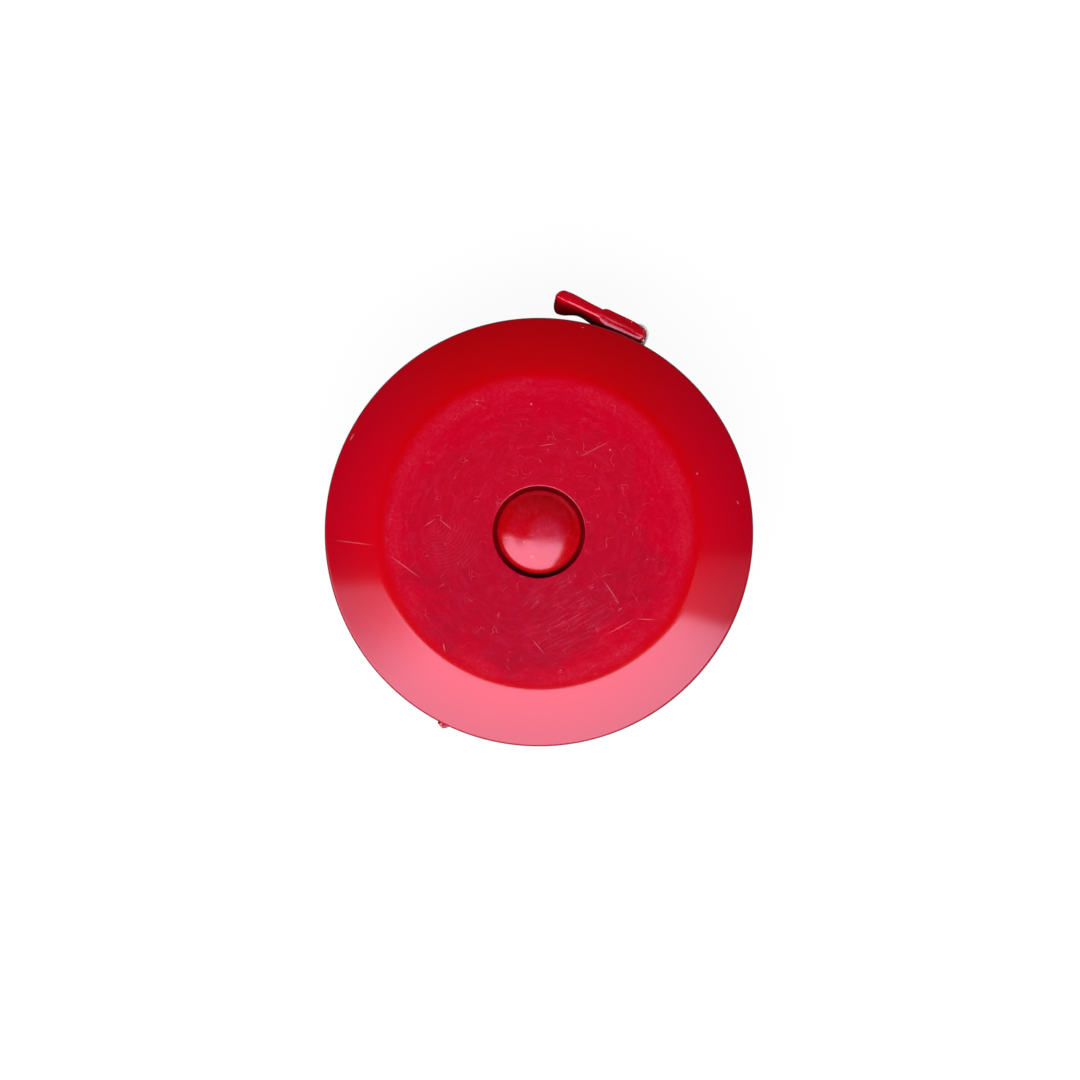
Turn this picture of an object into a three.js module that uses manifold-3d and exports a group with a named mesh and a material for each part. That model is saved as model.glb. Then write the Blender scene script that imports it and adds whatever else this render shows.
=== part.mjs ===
// A round push-button tape measure for sewing, in millimetres, with +Z up.
// The origin is on the case's axis at its flat back face. The push button is on top.
// Every piece is one closed solid. Pieces of one moving body share a group.
import * as THREE from "three";
import { mergeVertices, toCreasedNormals } from "three/addons/utils/BufferGeometryUtils.js";
import Module from "manifold-3d";

const wasm = await Module();
wasm.setup();

// Driving dimensions: case
const caseRadius = 25.5;
const caseThickness = 15;
const caseWall = 1.6;
const faceRadius = 19.1; // where the flat face would meet the bevel
const faceFillet = 8;
const faceCrown = 0.15;
const bevelDegrees = 17;
const rimFillet = 0.4;

// Driving dimensions: button and brake
const buttonHoleRadius = 5.45;
const buttonSideGap = 0.5;
const buttonDomeHeight = 1.75;
const buttonProud = 1.05; // the dome's top above the plane of the case's face

// Driving dimensions: reel, springs and tape
const postRadius = 3.2;
const drumRadius = 14.6;
const drumWall = 1.7;
const flangeRadius = 19.6;
const flangeThickness = 0.8;
const mainspringHeight = 4;
const mainspringThickness = 0.2;
const mainspringTurns = 10;
const tapeWidth = 7.5;
const tapeThickness = 0.3;
const tapeLength = 1500;

// Driving dimensions: pull tab
const tabHingeDegrees = 63.4; // where round the rim the tape folds over the tab's nose
const tabHingeOffRim = 0.95;
const tabDegrees = 154.7; // the way that the tab points from its fold to its grip
const tabHalfThickness = 0.757;
const tabSideWall = 0.7;
const tabLength = 10.8;
const tabPlateEnd = 5.07;
const tabPlateThickness = 0.27;
const tabGripThickness = 1;
const foldRadius = 1.15; // of the tape's middle, round the tab's nose
const shoulderRadius = 0.5; // of the tape's middle, where it dips into the tab

// Fits
const seatGap = 0.3; // a piece at rest to the one that it seats on
const runGap = 0.2; // a piece that turns or slides past another
const glueGap = 0.05;
const overrun = 1; // how far a cutter passes the surface that it cuts

// Facets
const roundSegments = 48;
const smallSegments = 24;
const pinSegments = 12;
const filletSteps = 3;
const creaseDegrees = 30;

const rad = THREE.MathUtils.degToRad;
const polar = (radius, degrees) =>
  new THREE.Vector2(radius * Math.cos(rad(degrees)), radius * Math.sin(rad(degrees)));

// Shapes

// Points about a centre, on an arc between two angles in degrees.
function arc(centre, radius, fromDegrees, toDegrees, steps) {
  return Array.from({ length: steps + 1 }, (_, i) => {
    const degrees = fromDegrees + ((toDegrees - fromDegrees) * i) / steps;
    return polar(radius, degrees).add(centre);
  });
}

// The outline through corners [x, y], or [x, y, fillet] where the corner is rounded.
function rounded(corners) {
  const points = corners.map(([x, y]) => new THREE.Vector2(x, y));
  return points.flatMap((corner, i) => {
    const fillet = corners[i][2] ?? 0;
    if (fillet === 0) return [corner];
    const before = points.at(i - 1).clone().sub(corner).normalize();
    const after = points[(i + 1) % points.length].clone().sub(corner).normalize();
    const half = Math.acos(before.dot(after)) / 2;
    const inward = before.clone().add(after).normalize();
    const centre = inward.multiplyScalar(fillet / Math.sin(half)).add(corner);
    const start = before.multiplyScalar(fillet / Math.tan(half)).add(corner).sub(centre);
    const end = after.multiplyScalar(fillet / Math.tan(half)).add(corner).sub(centre);
    const from = THREE.MathUtils.radToDeg(start.angle());
    const turn = THREE.MathUtils.radToDeg(Math.atan2(start.cross(end), start.dot(end)));
    return arc(centre, fillet, from, from + turn, filletSteps);
  });
}

// The outline of a strip of even thickness along a path, mitred at its bends.
function strip(path, thickness) {
  const normals = path.slice(1).map((point, i) => {
    const along = point.clone().sub(path[i]).normalize();
    return new THREE.Vector2(-along.y, along.x);
  });
  const offsets = path.map((_, i) => {
    const before = normals[Math.max(i - 1, 0)];
    const after = normals[Math.min(i, normals.length - 1)];
    const mitre = thickness / 2 / (1 + before.dot(after));
    return before.clone().add(after).multiplyScalar(mitre);
  });
  const left = path.map((point, i) => point.clone().add(offsets[i]));
  const right = path.map((point, i) => point.clone().sub(offsets[i]));
  return [...left, ...right.reverse()];
}

// A closed geometry as a solid that can be joined and cut.
function solid(geometry) {
  const triangles = geometry.index ? geometry.toNonIndexed() : geometry;
  const bare = new THREE.BufferGeometry();
  bare.setAttribute("position", triangles.getAttribute("position"));
  const merged = mergeVertices(bare);
  const vertProperties = merged.getAttribute("position").array;
  const triVerts = new Uint32Array(merged.index.array);
  return new wasm.Manifold(new wasm.Mesh({ numProp: 3, vertProperties, triVerts }));
}

// A closed profile of corners [radius, height] turned about the Z axis.
function turned(corners, segments = roundSegments) {
  const points = rounded(corners);
  if (THREE.ShapeUtils.area(points) < 0) points.reverse();
  points.push(points[0].clone());
  return solid(new THREE.LatheGeometry(points, segments).rotateX(Math.PI / 2));
}

// An outline in the XY plane drawn up from one height to another.
function prism(points, bottom, top) {
  const options = { depth: top - bottom, bevelEnabled: false };
  const geometry = new THREE.ExtrudeGeometry(new THREE.Shape(points), options);
  return solid(geometry.translate(0, 0, bottom));
}

// A bar lying along the X axis, turned about the Z axis by an angle.
function bar(from, to, width, bottom, top, degrees = 0) {
  const geometry = new THREE.BoxGeometry(to - from, width, top - bottom);
  geometry.translate((from + to) / 2, 0, (bottom + top) / 2);
  return solid(geometry.rotateZ(rad(degrees)));
}

function cylinder(centre, radius, bottom, top, segments = smallSegments) {
  const geometry = new THREE.CylinderGeometry(radius, radius, top - bottom, segments);
  geometry.rotateX(Math.PI / 2).translate(centre.x, centre.y, (bottom + top) / 2);
  return solid(geometry);
}

const join = (...solids) => solids.reduce((all, next) => all.add(next));
const cut = (body, ...tools) => tools.reduce((rest, tool) => rest.subtract(tool), body);
const spread = (count, firstDegrees = 0) =>
  Array.from({ length: count }, (_, i) => firstDegrees + (360 * i) / count);

// A named mesh of one solid in its own material.
function piece(name, body, color, roughness, metalness = 0) {
  const { vertProperties, triVerts } = body.getMesh();
  const geometry = new THREE.BufferGeometry();
  geometry.setAttribute("position", new THREE.BufferAttribute(vertProperties, 3));
  geometry.setIndex(new THREE.BufferAttribute(triVerts, 1));
  const material = new THREE.MeshStandardMaterial({ color, roughness, metalness });
  const mesh = new THREE.Mesh(toCreasedNormals(geometry, rad(creaseDegrees)), material);
  mesh.name = name;
  return mesh;
}

// Colours: the red moulded plastic, the white plastic, the tape and spring steel
const caseRed = 0xb4061c;
const reelWhite = 0xe9e7e1;
const tapeWhite = 0xf4f2ec;
const springSteel = 0x9aa0a6;

// Heights that several pieces share
const partingHeight = caseThickness / 2;
const floorHeight = caseWall;
const ceilingHeight = caseThickness - caseWall;
const tapeBottom = partingHeight - tapeWidth / 2;
const tapeTop = partingHeight + tapeWidth / 2;
const reelFloor = tapeBottom - runGap; // top of the lower flange
const reelBottom = reelFloor - flangeThickness;
const coverBottom = tapeTop + runGap;
const coverTop = coverBottom + flangeThickness;
const mainspringBottom = reelFloor + seatGap;
const mainspringTop = mainspringBottom + mainspringHeight;
const ledgeHeight = mainspringTop + runGap; // the ledge in the drum for the spring cover
const postShoulder = mainspringTop + 2 * runGap;

// Case: two bevelled shells that meet at half height

const bevelSlope = Math.tan(rad(bevelDegrees));
const bevelDrop = (caseRadius - faceRadius) * bevelSlope;
const innerRadius = caseRadius - caseWall;
const innerFaceRadius = faceRadius - caseWall * Math.tan(rad(bevelDegrees) / 2);
const innerBevelDrop = (innerRadius - innerFaceRadius) * bevelSlope;
const innerFillet = faceFillet - caseWall;
const partingChamfer = 0.15;
const tongueThickness = 0.7;
const tongueHeight = 0.9;
const rebateRadius = innerRadius + tongueThickness + runGap;
const rebateTop = partingHeight + tongueHeight + runGap;

const thrustWidth = 0.8;
const thrustRadius = 8.1;
const ribCount = 6;
const ribWidth = 0.8;
const ribHeight = 0.5;
const ribEnd = innerFaceRadius - ribWidth;

const pinCount = 4;
const pinFirstDegrees = 20;
const pinCircle = 21.9;
const pinRadius = 0.9;
const pinColumnRadius = 1.6;
const pinDepth = 3; // how far a pin reaches below the parting line
const pinPlaces = spread(pinCount, pinFirstDegrees).map((degrees) => polar(pinCircle, degrees));
// How far from a face's plane the pins' columns root in the bevelled wall
const pinRoot = (pinCircle + pinColumnRadius - faceRadius) * bevelSlope + caseWall / 4;

// The tape leaves the coil on a tangent and crosses the rim at the slot.
const hingeCentre = polar(caseRadius + tabHingeOffRim, tabHingeDegrees);
const coilRadius = Math.sqrt(drumRadius ** 2 + (tapeLength * tapeThickness) / Math.PI);
const tapeLineRadius = coilRadius - tapeThickness / 2;
const headingDegrees =
  tabHingeDegrees - THREE.MathUtils.radToDeg(Math.asin((tapeLineRadius + foldRadius) / hingeCentre.length()));
const foldStartAlong = Math.sqrt(hingeCentre.lengthSq() - (tapeLineRadius + foldRadius) ** 2);

const slotHalfWidth = 0.6;
const slotFlare = 0.4;
const slotFillet = 3;
const slotEndGap = 0.4; // the slot's ends above and below the tape's edges
const slotInnerAlong = Math.sqrt(innerRadius ** 2 - tapeLineRadius ** 2);
const slotOuterAlong = Math.sqrt(caseRadius ** 2 - tapeLineRadius ** 2);

// The cutter for the tape's slot, narrowest in the middle of the wall, with flared lips.
function tapeSlot() {
  const start = slotInnerAlong - overrun;
  const middle = (slotInnerAlong + slotOuterAlong) / 2;
  const end = slotOuterAlong + overrun;
  const wide = slotHalfWidth + slotFlare;
  const lips = rounded([
    [start, tapeLineRadius - wide],
    [middle, tapeLineRadius - slotHalfWidth, slotFillet],
    [end, tapeLineRadius - wide],
    [end, tapeLineRadius + wide],
    [middle, tapeLineRadius + slotHalfWidth, slotFillet],
    [start, tapeLineRadius + wide],
  ]);
  const origin = new THREE.Vector2();
  const placed = lips.map((point) => point.rotateAround(origin, rad(headingDegrees)));
  return prism(placed, tapeBottom - slotEndGap, tapeTop + slotEndGap);
}

function upperCase() {
  const holeChamfer = 0.25;
  const middleRadius = (buttonHoleRadius + faceRadius) / 2;
  const crownAt = (radius) => caseThickness + faceCrown * (1 - (radius / faceRadius) ** 2);
  const shell = turned([
    [buttonHoleRadius, ceilingHeight],
    [buttonHoleRadius, crownAt(buttonHoleRadius) - holeChamfer],
    [buttonHoleRadius + holeChamfer, crownAt(buttonHoleRadius)],
    [middleRadius, crownAt(middleRadius)],
    [faceRadius, caseThickness, faceFillet],
    [caseRadius, caseThickness - bevelDrop, rimFillet],
    [caseRadius, partingHeight + partingChamfer],
    [caseRadius - partingChamfer, partingHeight],
    [rebateRadius, partingHeight],
    [rebateRadius, rebateTop],
    [innerRadius, rebateTop],
    [innerRadius, ceilingHeight - innerBevelDrop],
    [innerFaceRadius, ceilingHeight, innerFillet],
  ]);
  const skin = caseWall / 2; // ribs and columns start inside the wall
  const thrustRing = turned([
    [thrustRadius, coverTop + seatGap],
    [thrustRadius + thrustWidth, coverTop + seatGap],
    [thrustRadius + thrustWidth, ceilingHeight + skin],
    [thrustRadius, ceilingHeight + skin],
  ]);
  const ribStart = thrustRadius + thrustWidth / 2;
  const ribs = spread(ribCount).map((degrees) =>
    bar(ribStart, ribEnd, ribWidth, ceilingHeight - ribHeight, ceilingHeight + skin, degrees),
  );
  const columnTop = caseThickness - pinRoot;
  const pins = pinPlaces.flatMap((place) => [
    cylinder(place, pinColumnRadius, rebateTop, columnTop, pinSegments),
    cylinder(place, pinRadius, partingHeight - pinDepth, columnTop, pinSegments),
  ]);
  // What is left of the moulding gate, on the rim
  const gateDegrees = 243.6;
  const gateRadius = 0.6;
  const gateProud = 0.5;
  const gateTop = caseThickness - bevelDrop - rimFillet;
  const gatePlace = polar(caseRadius + gateProud - gateRadius, gateDegrees);
  const gate = cylinder(gatePlace, gateRadius, gateTop - gateRadius, gateTop, pinSegments);
  return cut(join(shell, thrustRing, ...ribs, ...pins, gate), tapeSlot());
}

const postBaseRadius = 5.2;
const postSquare = 3.6;
const postSlotWidth = 0.5;
const postSlotDepth = 1;
const postTopGap = 0.5;
const postTop = ceilingHeight - postTopGap;

function lowerCase() {
  const shell = turned([
    [0, 0],
    [faceRadius, 0, faceFillet],
    [caseRadius, bevelDrop, rimFillet],
    [caseRadius, partingHeight - partingChamfer],
    [caseRadius - partingChamfer, partingHeight],
    [innerRadius + tongueThickness, partingHeight],
    [innerRadius + tongueThickness, partingHeight + tongueHeight],
    [innerRadius, partingHeight + tongueHeight],
    [innerRadius, floorHeight + innerBevelDrop],
    [innerFaceRadius, floorHeight, innerFillet],
    [postBaseRadius, floorHeight],
    [postBaseRadius, reelBottom - seatGap],
    [postRadius, reelBottom - seatGap],
    [postRadius, postShoulder],
    [0, postShoulder],
  ]);
  const skin = caseWall / 2;
  const half = postSquare / 2;
  const squareEnd = bar(-half, half, postSquare, postShoulder - skin, postTop);
  const ribStart = postBaseRadius - ribWidth;
  const ribs = spread(ribCount).map((degrees) =>
    bar(ribStart, ribEnd, ribWidth, floorHeight - skin, floorHeight + ribHeight, degrees),
  );
  const sockets = pinPlaces.map((place) =>
    cylinder(place, pinColumnRadius, pinRoot, partingHeight, pinSegments),
  );
  const bores = pinPlaces.map((place) => {
    const bottom = partingHeight - pinDepth - runGap;
    return cylinder(place, pinRadius + runGap, bottom, partingHeight + overrun, pinSegments);
  });
  const slotStart = postRadius - postSlotDepth;
  const springSlot = bar(
    slotStart, postRadius + overrun, postSlotWidth, reelFloor, postShoulder + overrun,
  );
  return cut(join(shell, squareEnd, ...ribs, ...sockets), ...bores, springSlot, tapeSlot());
}

// Reel: a drum with its lower flange, the cover that is its upper flange, and the springs inside

const drumInner = drumRadius - drumWall;
const ledgeWidth = 0.5;
const notchDepth = 0.8;
const notchDegrees = 0;

function reelDrum() {
  const rimRound = 0.2;
  const drumTop = coverBottom - seatGap;
  const body = turned([
    [postRadius + runGap, reelBottom],
    [flangeRadius, reelBottom, rimRound],
    [flangeRadius, reelFloor, rimRound],
    [drumRadius, reelFloor],
    [drumRadius, drumTop],
    [drumInner + ledgeWidth, drumTop],
    [drumInner + ledgeWidth, ledgeHeight],
    [drumInner, ledgeHeight],
    [drumInner, reelFloor],
    [postRadius + runGap, reelFloor],
  ]);
  // The notch that holds the mainspring's outer end, and the slit for the tape's inner end
  const notchEnd = drumInner + notchDepth;
  const notch = bar(
    drumInner - overrun, notchEnd, notchDepth, reelFloor, ledgeHeight + overrun, notchDegrees,
  );
  const slitDegrees = 205;
  const slit = bar(
    drumInner - overrun, drumRadius + overrun, 2 * tapeThickness, tapeBottom, drumTop + overrun,
    slitDegrees,
  );
  return cut(body, notch, slit);
}

const coneHeight = 1.7;
const coneFlare = 1;
const coneTopRadius = 8.6;
const coneTop = coverTop - flangeThickness / 2;
const coneLipWidth = 0.8;
const coneWall = 1.2;

function reelCover() {
  const rimRound = 0.2;
  const spigotWidth = 1;
  const spigotHeight = 0.8;
  const spigotRadius = drumInner + ledgeWidth - runGap;
  const coneBottomRadius = coneTopRadius + coneFlare;
  return turned([
    [coneTopRadius - coneLipWidth, coneTop],
    [coneTopRadius, coneTop],
    [coneBottomRadius, coneTop - coneHeight],
    [coneBottomRadius + coneWall, coneTop - coneHeight],
    [coneBottomRadius + coneWall, coverBottom],
    [spigotRadius - spigotWidth, coverBottom],
    [spigotRadius - spigotWidth, coverBottom - spigotHeight],
    [spigotRadius, coverBottom - spigotHeight],
    [spigotRadius, coverBottom],
    [flangeRadius, coverBottom, rimRound],
    [flangeRadius, coverTop, rimRound],
    [coneTopRadius - coneLipWidth, coverTop],
  ]);
}

function springCover() {
  const thickness = 0.3;
  const inner = postRadius + 2 * runGap;
  const outer = drumInner + ledgeWidth - runGap;
  const bottom = ledgeHeight + glueGap;
  const corners = [
    [inner, bottom],
    [outer, bottom],
    [outer, bottom + thickness],
    [inner, bottom + thickness],
  ];
  return turned(corners);
}

// The clock spring's path, from its tongue in the post's slot to its hook in the drum's notch.
function mainspringPath() {
  const stepsPerTurn = 18;
  const inner = postRadius + 2 * runGap;
  const outer = drumInner - seatGap;
  const turnDegrees = 360 * mainspringTurns + notchDegrees;
  const steps = stepsPerTurn * mainspringTurns;
  const coil = Array.from({ length: steps + 1 }, (_, i) =>
    polar(inner + ((outer - inner) * i) / steps, (turnDegrees * i) / steps),
  );
  const tongue = polar(postRadius - postSlotDepth + runGap, 0);
  const hook = polar(drumInner + notchDepth - runGap, notchDegrees);
  return [tongue, ...coil, hook];
}

// The outermost layer winds in one turn to the tangent point, over the plain layers below it.
function woundTape() {
  const steps = roundSegments;
  const tangentDegrees = headingDegrees + 90;
  const outline = Array.from({ length: steps + 1 }, (_, i) =>
    polar(coilRadius - (tapeThickness * i) / steps, tangentDegrees + (360 * i) / steps),
  );
  const bore = cylinder(
    new THREE.Vector2(), drumRadius + glueGap, tapeBottom - overrun, tapeTop + overrun, steps,
  );
  return cut(prism(outline, tapeBottom, tapeTop), bore);
}

// Button: the cap, the brake cone under it and the coil spring that lifts both

const buttonRadius = buttonHoleRadius - buttonSideGap;
const buttonTop = caseThickness + buttonProud;
const buttonFlange = 0.95; // how far the cap's flange passes the hole
const coneLean = Math.atan2(coneFlare, coneHeight);
const brakeTop = coneTop - seatGap * Math.sin(coneLean);
const brakeTopRadius = coneTopRadius - seatGap * Math.cos(coneLean);
const webThickness = 0.75;
const webBottom = brakeTop - webThickness;
const brakeWall = 0.8;
const boreAcross = postSquare + 2 * runGap;
const hubWall = 0.75;
const hubRadius = (boreAcross / 2) * Math.SQRT2 + hubWall;

function brakeCone() {
  const bottom = brakeTop - coneHeight;
  const flareAt = (height) => ((brakeTop - height) * coneFlare) / coneHeight;
  const wallAcross = brakeWall / Math.cos(coneLean);
  const hubTop = ceilingHeight - seatGap;
  const body = turned([
    [0, webBottom],
    [brakeTopRadius + flareAt(webBottom) - wallAcross, webBottom],
    [brakeTopRadius + flareAt(bottom) - wallAcross, bottom],
    [brakeTopRadius + flareAt(bottom), bottom],
    [brakeTopRadius, brakeTop],
    [hubRadius, brakeTop],
    [hubRadius, hubTop],
    [0, hubTop],
  ]);
  const half = boreAcross / 2;
  return cut(body, bar(-half, half, boreAcross, webBottom - overrun, hubTop + overrun));
}

function pushButton() {
  const edgeRound = 0.2;
  const capWall = 1.05;
  const domeSteps = 6;
  const edgeHeight = buttonTop - buttonDomeHeight;
  const domeRadius = (buttonRadius ** 2 + buttonDomeHeight ** 2) / (2 * buttonDomeHeight);
  const domeCentre = buttonTop - domeRadius;
  const domeAt = (radius) => domeCentre + Math.sqrt(domeRadius ** 2 - radius ** 2);
  const dome = Array.from({ length: domeSteps }, (_, i) => {
    const radius = (buttonRadius * (domeSteps - 1 - i)) / domeSteps;
    return [radius, domeAt(radius)];
  });
  const flangeTop = ceilingHeight - seatGap;
  const flangeBottom = brakeTop + seatGap;
  const inner = hubRadius + runGap;
  return turned([
    [inner, flangeBottom],
    [buttonHoleRadius + buttonFlange, flangeBottom, edgeRound],
    [buttonHoleRadius + buttonFlange, flangeTop, edgeRound],
    [buttonRadius, flangeTop],
    [buttonRadius, edgeHeight, edgeRound],
    ...dome,
    [0, buttonTop - capWall],
    [inner, domeAt(inner) - capWall],
  ], smallSegments * 2);
}

// The helix that a coil spring's wire follows, upward from a height.
class Helix extends THREE.Curve {
  constructor(radius, bottom, height, turns) {
    super();
    Object.assign(this, { radius, bottom, height, turns });
  }

  getPoint(share, target = new THREE.Vector3()) {
    const { x, y } = polar(this.radius, 360 * this.turns * share);
    return target.set(x, y, this.bottom + this.height * share);
  }
}

const coilWire = 0.35;
const coilTurns = 2.5;
const coilBottom = postShoulder + runGap / 2 + coilWire / 2;
const coilHeight = webBottom - runGap / 2 - coilWire / 2 - coilBottom;
const coilRadiusMean = postRadius - coilWire;

function buttonSpring() {
  const sides = 6;
  const stepsPerTurn = 12;
  const section = new THREE.Shape(spread(sides).map((degrees) => polar(coilWire / 2, degrees)));
  const extrudePath = new Helix(coilRadiusMean, coilBottom, coilHeight, coilTurns);
  const options = { steps: coilTurns * stepsPerTurn, bevelEnabled: false, extrudePath };
  return solid(new THREE.ExtrudeGeometry(section, options));
}

// Tape from the coil to the rim, on the tangent that it leaves the coil by.
function tapeRun() {
  const start = glueGap;
  const end = foldStartAlong - glueGap;
  const line = tapeLineRadius + glueGap / 2;
  const path = [start, end].map((along) =>
    new THREE.Vector2(along, line).rotateAround(new THREE.Vector2(), rad(headingDegrees)),
  );
  return prism(strip(path, tapeThickness), tapeBottom, tapeTop);
}

// Pull tab: drawn about the fold's centre, with x along the tab, y away from the case
// and z across the tape from its middle

const channelHalfWidth = tapeWidth / 2 + runGap;
const tabHalfWidth = channelHalfWidth + tabSideWall;
const pocketLine = tabHalfThickness - glueGap - tapeThickness / 2; // the tape's middle in its pocket
const pocketEnd = 4.5;
const foldToShoulder = foldRadius + shoulderRadius;
const foldDrop = Math.acos(1 - (foldRadius - pocketLine) / foldToShoulder);
const foldDropDegrees = THREE.MathUtils.radToDeg(foldDrop);
const foldDropLength = foldToShoulder * Math.sin(foldDrop);

// The tape's way round the nose, down over its shoulder and into the pocket.
function foldPath(fromDegrees, end) {
  const noseSteps = 12;
  const shoulderSteps = 4;
  const shoulder = polar(foldToShoulder, 90 - foldDropDegrees);
  return [
    ...arc(new THREE.Vector2(), foldRadius, fromDegrees, 90 - foldDropDegrees, noseSteps),
    ...arc(shoulder, shoulderRadius, 270 - foldDropDegrees, 270, shoulderSteps).slice(1),
    new THREE.Vector2(end, pocketLine),
  ];
}

function tapeFold() {
  const path = foldPath(tabDegrees - headingDegrees + 90, pocketEnd);
  return prism(strip(path, tapeThickness), -tapeWidth / 2, tapeWidth / 2);
}

// The outline of the channel for the tape's end, open to the top and over the shoulder.
function tapeChannel() {
  const path = foldPath(90, pocketEnd + glueGap);
  const floor = strip(path, tapeThickness + 2 * glueGap).slice(path.length);
  const top = tabHalfThickness + overrun;
  return [...floor, new THREE.Vector2(floor.at(-1).x, top), new THREE.Vector2(floor[0].x, top)];
}

function pullTab() {
  const stepStart = 5;
  const stepEnd = 6.6;
  const stepRound = 0.4;
  const gripUnder = tabHalfThickness - tabGripThickness;
  const endRound = 0.4;
  const noseSteps = 8;
  const nose = arc(new THREE.Vector2(), tabHalfThickness, 90, 270, noseSteps);
  const body = rounded([
    ...nose.map(({ x, y }) => [x, y]),
    [stepStart, -tabHalfThickness, stepRound],
    [stepEnd, gripUnder, stepRound],
    [tabLength, gripUnder, endRound],
    [tabLength, tabHalfThickness, endRound],
  ]);
  // The raised foot under the grip's end, drawn in from the tab's sides
  const footStart = 7.7;
  const footEnd = 9.9;
  const footDepth = 0.95;
  const footInset = 0.45;
  const footRound = 0.55;
  const foot = rounded([
    [footStart, gripUnder],
    [footEnd, gripUnder - footDepth, footRound],
    [tabLength, gripUnder - footDepth, footRound],
    [tabLength, gripUnder + tabGripThickness / 2],
    [footStart, gripUnder + tabGripThickness / 2],
  ]);
  const footHalfWidth = tabHalfWidth - footInset;
  return cut(
    join(prism(body, -tabHalfWidth, tabHalfWidth), prism(foot, -footHalfWidth, footHalfWidth)),
    prism(tapeChannel(), -channelHalfWidth, channelHalfWidth),
  );
}

function tabPlate() {
  const edgeRound = 0.1;
  const bottom = tabHalfThickness + glueGap;
  const start = foldDropLength + glueGap;
  const outline = rounded([
    [start, bottom],
    [tabPlateEnd, bottom],
    [tabPlateEnd, bottom + tabPlateThickness, edgeRound],
    [start, bottom + tabPlateThickness, edgeRound],
  ]);
  return prism(outline, -tabHalfWidth, tabHalfWidth);
}

// The least gap between two turns of a winding: its pitch less its own thickness
const mainspringPitch = (drumInner - seatGap - postRadius - 2 * runGap) / mainspringTurns;
console.log("least gap between the mainspring's turns", mainspringPitch - mainspringThickness);
console.log("least gap between the button spring's turns", coilHeight / coilTurns - coilWire);

// Assembly

const caseBody = new THREE.Group().add(
  piece("upper_case", upperCase(), caseRed, 0.3),
  piece("lower_case", lowerCase(), caseRed, 0.3),
  piece("button_spring", buttonSpring(), springSteel, 0.35, 1),
);
const buttonBody = new THREE.Group().add(
  piece("push_button", pushButton(), caseRed, 0.3),
  piece("brake_cone", brakeCone(), reelWhite, 0.5),
);
const mainspring = prism(strip(mainspringPath(), mainspringThickness), mainspringBottom, mainspringTop);
const reelBody = new THREE.Group().add(
  piece("reel_drum", reelDrum(), reelWhite, 0.5),
  piece("reel_cover", reelCover(), reelWhite, 0.5),
  piece("spring_cover", springCover(), reelWhite, 0.5),
  piece("mainspring", mainspring, springSteel, 0.35, 1),
  piece("wound_tape", woundTape(), tapeWhite, 0.6),
);
const tapeBody = new THREE.Group().add(piece("tape_run", tapeRun(), tapeWhite, 0.6));
const tabBody = new THREE.Group().add(
  piece("pull_tab", pullTab(), caseRed, 0.3),
  piece("tab_plate", tabPlate(), caseRed, 0.3),
  piece("tape_fold", tapeFold(), tapeWhite, 0.6),
);
tabBody.position.set(hingeCentre.x, hingeCentre.y, partingHeight);
tabBody.rotation.set(Math.PI, 0, -rad(tabDegrees));

export default new THREE.Group().add(caseBody, buttonBody, reelBody, tapeBody, tabBody);
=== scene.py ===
# A round push-button tape measure for sewing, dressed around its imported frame.
# Sizes are in millimetres and become metres where a mesh is made. +Z is up, out of the button.
from math import acos, asin, atan2, cos, degrees, pi, radians, sin, sqrt, tan

import bmesh
import bpy
import numpy as np
from mathutils import Matrix, Vector


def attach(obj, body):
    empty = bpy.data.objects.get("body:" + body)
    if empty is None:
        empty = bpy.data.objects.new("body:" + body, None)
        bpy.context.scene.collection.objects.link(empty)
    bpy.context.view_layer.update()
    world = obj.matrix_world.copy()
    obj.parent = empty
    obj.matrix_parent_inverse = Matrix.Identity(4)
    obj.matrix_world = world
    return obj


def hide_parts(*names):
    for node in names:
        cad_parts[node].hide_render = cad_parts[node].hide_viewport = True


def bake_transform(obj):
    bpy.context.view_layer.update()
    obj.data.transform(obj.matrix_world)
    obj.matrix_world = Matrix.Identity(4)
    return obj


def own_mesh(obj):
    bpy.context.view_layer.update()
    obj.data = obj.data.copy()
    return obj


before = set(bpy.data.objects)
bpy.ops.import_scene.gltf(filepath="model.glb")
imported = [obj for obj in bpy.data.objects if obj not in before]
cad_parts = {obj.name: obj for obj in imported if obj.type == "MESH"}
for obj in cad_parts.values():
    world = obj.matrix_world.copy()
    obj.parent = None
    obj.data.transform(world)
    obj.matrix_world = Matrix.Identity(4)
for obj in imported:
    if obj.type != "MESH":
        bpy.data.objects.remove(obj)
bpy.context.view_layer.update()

MM = 0.001
scene = bpy.context.scene
scene.view_settings.view_transform = "Standard"

# Camera: straight above the case, a hand's breadth over a foot away, as in the photograph.
# Its axis passes a millimetre in front of the button's middle.
camera_place = (0.126, -0.941, 302.8)
camera_lens = 81.25
camera = bpy.data.objects.new("camera", bpy.data.cameras.new("camera"))
camera.data.lens = camera_lens
camera.data.clip_start = 10 * MM
camera.location = Vector(camera_place) * MM
scene.collection.objects.link(camera)
scene.camera = camera


# Studio: a pale table, one big soft window on the -Y side and a dim room round it.
# The window's near edge is what the case's bevel and the button's dome mirror.
def linear(colour):
    """An sRGB hex colour as the linear RGBA that shaders read."""
    parts = [int(colour[i : i + 2], 16) / 255 for i in (1, 3, 5)]
    return (*[c / 12.92 if c <= 0.04045 else ((c + 0.055) / 1.055) ** 2.4 for c in parts], 1)


# The setting that says how a node works, where it isn't called its operation
ways = {"MapRange": "interpolation_type", "Mapping": "vector_type", "Mix": "data_type"}


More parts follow.
